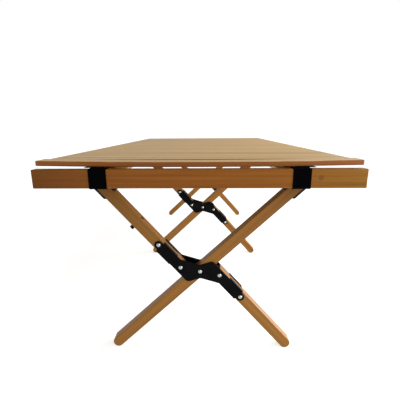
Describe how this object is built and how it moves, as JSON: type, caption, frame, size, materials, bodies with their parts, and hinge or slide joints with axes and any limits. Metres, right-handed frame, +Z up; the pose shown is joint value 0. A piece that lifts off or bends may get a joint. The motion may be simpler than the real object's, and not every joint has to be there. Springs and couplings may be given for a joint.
{
  "type": "roll-top slatted camping table",
  "caption": "Low slatted wooden camping table whose top rolls up and whose crossed legs fold together under two long side rails.",
  "frame": {"origin": "on the floor under the middle of the table, at the bottom centre of the bounding box", "axes": "+X to the right seen from the front end, +Y along the table to the rear end, +Z up"},
  "size_m": [0.612, 1.1888, 0.4311],
  "materials": {
    "slat_beech": "satin varnish",
    "beam_beech": "satin varnish",
    "leg_beech": "satin varnish",
    "rail_beech": "satin varnish",
    "plug_wood": "satin varnish",
    "webbing": "woven",
    "black_steel": "satin powder coat",
    "zinc_rivet": "plated"
  },
  "bodies": {
    "top": {"slat_01": "slat_beech", "front_beam": "beam_beech", "rear_beam": "beam_beech", "beam_plugs": "plug_wood", "front_bands": "webbing", "rear_bands": "webbing", "strap_keepers": "black_steel", "webbing_straps": "webbing"},
    "through_set": {"right_rail_front": "rail_beech", "right_rail_rear": "rail_beech", "rail_dowels": "zinc_rivet", "right_clevises": "black_steel", "right_clevis_pins": "black_steel", "through_leg_front": "leg_beech", "through_leg_middle": "leg_beech", "through_leg_rear": "leg_beech"},
    "split_set": {"left_rail_front": "rail_beech", "left_rail_rear": "rail_beech", "left_clevises": "black_steel", "left_clevis_pins": "black_steel", "pivot_pins": "zinc_rivet", "leg_rivets": "zinc_rivet", "stay_bolt": "black_steel", "upper_leg_front": "leg_beech", "lower_leg_front": "leg_beech", "hinge_plates_front": "black_steel", "upper_leg_middle": "leg_beech", "lower_leg_middle": "leg_beech", "hinge_plates_middle": "black_steel", "upper_leg_rear": "leg_beech", "lower_leg_rear": "leg_beech", "hinge_plates_rear": "black_steel"},
    "slat_02": {"slat_02": "slat_beech"},
    "slat_03": {"slat_03": "slat_beech"},
    "slat_04": {"slat_04": "slat_beech"},
    "slat_05": {"slat_05": "slat_beech"},
    "slat_06": {"slat_06": "slat_beech"},
    "slat_07": {"slat_07": "slat_beech"},
    "slat_08": {"slat_08": "slat_beech"},
    "slat_09": {"slat_09": "slat_beech"},
    "slat_10": {"slat_10": "slat_beech"},
    "slat_11": {"slat_11": "slat_beech"},
    "slat_12": {"slat_12": "slat_beech"},
    "slat_13": {"slat_13": "slat_beech"},
    "slat_14": {"slat_14": "slat_beech"},
    "slat_15": {"slat_15": "slat_beech"},
    "slat_16": {"slat_16": "slat_beech"},
    "slat_17": {"slat_17": "slat_beech"},
    "slat_18": {"slat_18": "slat_beech"},
    "slat_19": {"slat_19": "slat_beech"},
    "slat_20": {"slat_20": "slat_beech"},
    "slat_21": {"slat_21": "slat_beech"},
    "slat_22": {"slat_22": "slat_beech"},
    "slat_23": {"slat_23": "slat_beech"},
    "slat_24": {"slat_24": "slat_beech"},
    "slat_25": {"slat_25": "slat_beech"},
    "slat_26": {"slat_26": "slat_beech"},
    "slat_27": {"slat_27": "slat_beech"},
    "slat_28": {"slat_28": "slat_beech"},
    "slat_29": {"slat_29": "slat_beech"}
  },
  "joints": [
    {"name": "frame_fold", "type": "hinge", "parent": "top", "child": "through_set", "pos_m": [0.18624, 0, 0.4017], "axis": [0, -1, 0], "range_deg": [0, 37.9]},
    {"name": "leg_pivot", "type": "hinge", "parent": "through_set", "child": "split_set", "pos_m": [0.0018, 0, 0.1895], "axis": [0, 1, 0], "range_deg": [0, 75.5]},
    {"name": "roll_02", "type": "hinge", "parent": "top", "child": "slat_02", "pos_m": [0, -0.54, 0.4189], "axis": [1, 0, 0], "range_deg": [0, 8]},
    {"name": "roll_03", "type": "hinge", "parent": "slat_02", "child": "slat_03", "pos_m": [0, -0.4985, 0.4189], "axis": [1, 0, 0], "range_deg": [0, 15]},
    {"name": "roll_04", "type": "hinge", "parent": "slat_03", "child": "slat_04", "pos_m": [0, -0.4585, 0.4189], "axis": [1, 0, 0], "range_deg": [0, 15.13]},
    {"name": "roll_05", "type": "hinge", "parent": "slat_04", "child": "slat_05", "pos_m": [0, -0.4185, 0.4189], "axis": [1, 0, 0], "range_deg": [0, 15.27]},
    {"name": "roll_06", "type": "hinge", "parent": "slat_05", "child": "slat_06", "pos_m": [0, -0.3785, 0.4189], "axis": [1, 0, 0], "range_deg": [0, 15.4]},
    {"name": "roll_07", "type": "hinge", "parent": "slat_06", "child": "slat_07", "pos_m": [0, -0.3385, 0.4189], "axis": [1, 0, 0], "range_deg": [0, 15.54]},
    {"name": "roll_08", "type": "hinge", "parent": "slat_07", "child": "slat_08", "pos_m": [0, -0.2985, 0.4189], "axis": [1, 0, 0], "range_deg": [0, 15.67]},
    {"name": "roll_09", "type": "hinge", "parent": "slat_08", "child": "slat_09", "pos_m": [0, -0.2585, 0.4189], "axis": [1, 0, 0], "range_deg": [0, 15.81]},
    {"name": "roll_10", "type": "hinge", "parent": "slat_09", "child": "slat_10", "pos_m": [0, -0.2185, 0.4189], "axis": [1, 0, 0], "range_deg": [0, 15.94]},
    {"name": "roll_11", "type": "hinge", "parent": "slat_10", "child": "slat_11", "pos_m": [0, -0.1785, 0.4189], "axis": [1, 0, 0], "range_deg": [0, 16.08]},
    {"name": "roll_12", "type": "hinge", "parent": "slat_11", "child": "slat_12", "pos_m": [0, -0.1385, 0.4189], "axis": [1, 0, 0], "range_deg": [0, 16.21]},
    {"name": "roll_13", "type": "hinge", "parent": "slat_12", "child": "slat_13", "pos_m": [0, -0.0985, 0.4189], "axis": [1, 0, 0], "range_deg": [0, 16.35]},
    {"name": "roll_14", "type": "hinge", "parent": "slat_13", "child": "slat_14", "pos_m": [0, -0.0585, 0.4189], "axis": [1, 0, 0], "range_deg": [0, 16.48]},
    {"name": "roll_15", "type": "hinge", "parent": "slat_14", "child": "slat_15", "pos_m": [0, -0.0185, 0.4189], "axis": [1, 0, 0], "range_deg": [0, 16.62]},
    {"name": "roll_16", "type": "hinge", "parent": "slat_15", "child": "slat_16", "pos_m": [0, 0.0215, 0.4189], "axis": [1, 0, 0], "range_deg": [0, 16.75]},
    {"name": "roll_17", "type": "hinge", "parent": "slat_16", "child": "slat_17", "pos_m": [0, 0.0615, 0.4189], "axis": [1, 0, 0], "range_deg": [0, 16.88]},
    {"name": "roll_18", "type": "hinge", "parent": "slat_17", "child": "slat_18", "pos_m": [0, 0.1015, 0.4189], "axis": [1, 0, 0], "range_deg": [0, 17.02]},
    {"name": "roll_19", "type": "hinge", "parent": "slat_18", "child": "slat_19", "pos_m": [0, 0.1415, 0.4189], "axis": [1, 0, 0], "range_deg": [0, 17.15]},
    {"name": "roll_20", "type": "hinge", "parent": "slat_19", "child": "slat_20", "pos_m": [0, 0.1815, 0.4189], "axis": [1, 0, 0], "range_deg": [0, 17.29]},
    {"name": "roll_21", "type": "hinge", "parent": "slat_20", "child": "slat_21", "pos_m": [0, 0.2215, 0.4189], "axis": [1, 0, 0], "range_deg": [0, 17.42]},
    {"name": "roll_22", "type": "hinge", "parent": "slat_21", "child": "slat_22", "pos_m": [0, 0.2615, 0.4189], "axis": [1, 0, 0], "range_deg": [0, 17.56]},
    {"name": "roll_23", "type": "hinge", "parent": "slat_22", "child": "slat_23", "pos_m": [0, 0.3015, 0.4189], "axis": [1, 0, 0], "range_deg": [0, 17.69]},
    {"name": "roll_24", "type": "hinge", "parent": "slat_23", "child": "slat_24", "pos_m": [0, 0.3415, 0.4189], "axis": [1, 0, 0], "range_deg": [0, 17.83]},
    {"name": "roll_25", "type": "hinge", "parent": "slat_24", "child": "slat_25", "pos_m": [0, 0.3815, 0.4189], "axis": [1, 0, 0], "range_deg": [0, 17.96]},
    {"name": "roll_26", "type": "hinge", "parent": "slat_25", "child": "slat_26", "pos_m": [0, 0.4215, 0.4189], "axis": [1, 0, 0], "range_deg": [0, 18.1]},
    {"name": "roll_27", "type": "hinge", "parent": "slat_26", "child": "slat_27", "pos_m": [0, 0.4615, 0.4189], "axis": [1, 0, 0], "range_deg": [0, 18.23]},
    {"name": "roll_28", "type": "hinge", "parent": "slat_27", "child": "slat_28", "pos_m": [0, 0.5015, 0.4189], "axis": [1, 0, 0], "range_deg": [0, 18.37]},
    {"name": "roll_29", "type": "hinge", "parent": "slat_28", "child": "slat_29", "pos_m": [0, 0.5415, 0.4189], "axis": [1, 0, 0], "range_deg": [0, 18.5]}
  ],
  "couplings": [
    {"joint": "leg_pivot", "follows": "frame_fold", "ratio": 1.9919}
  ]
}
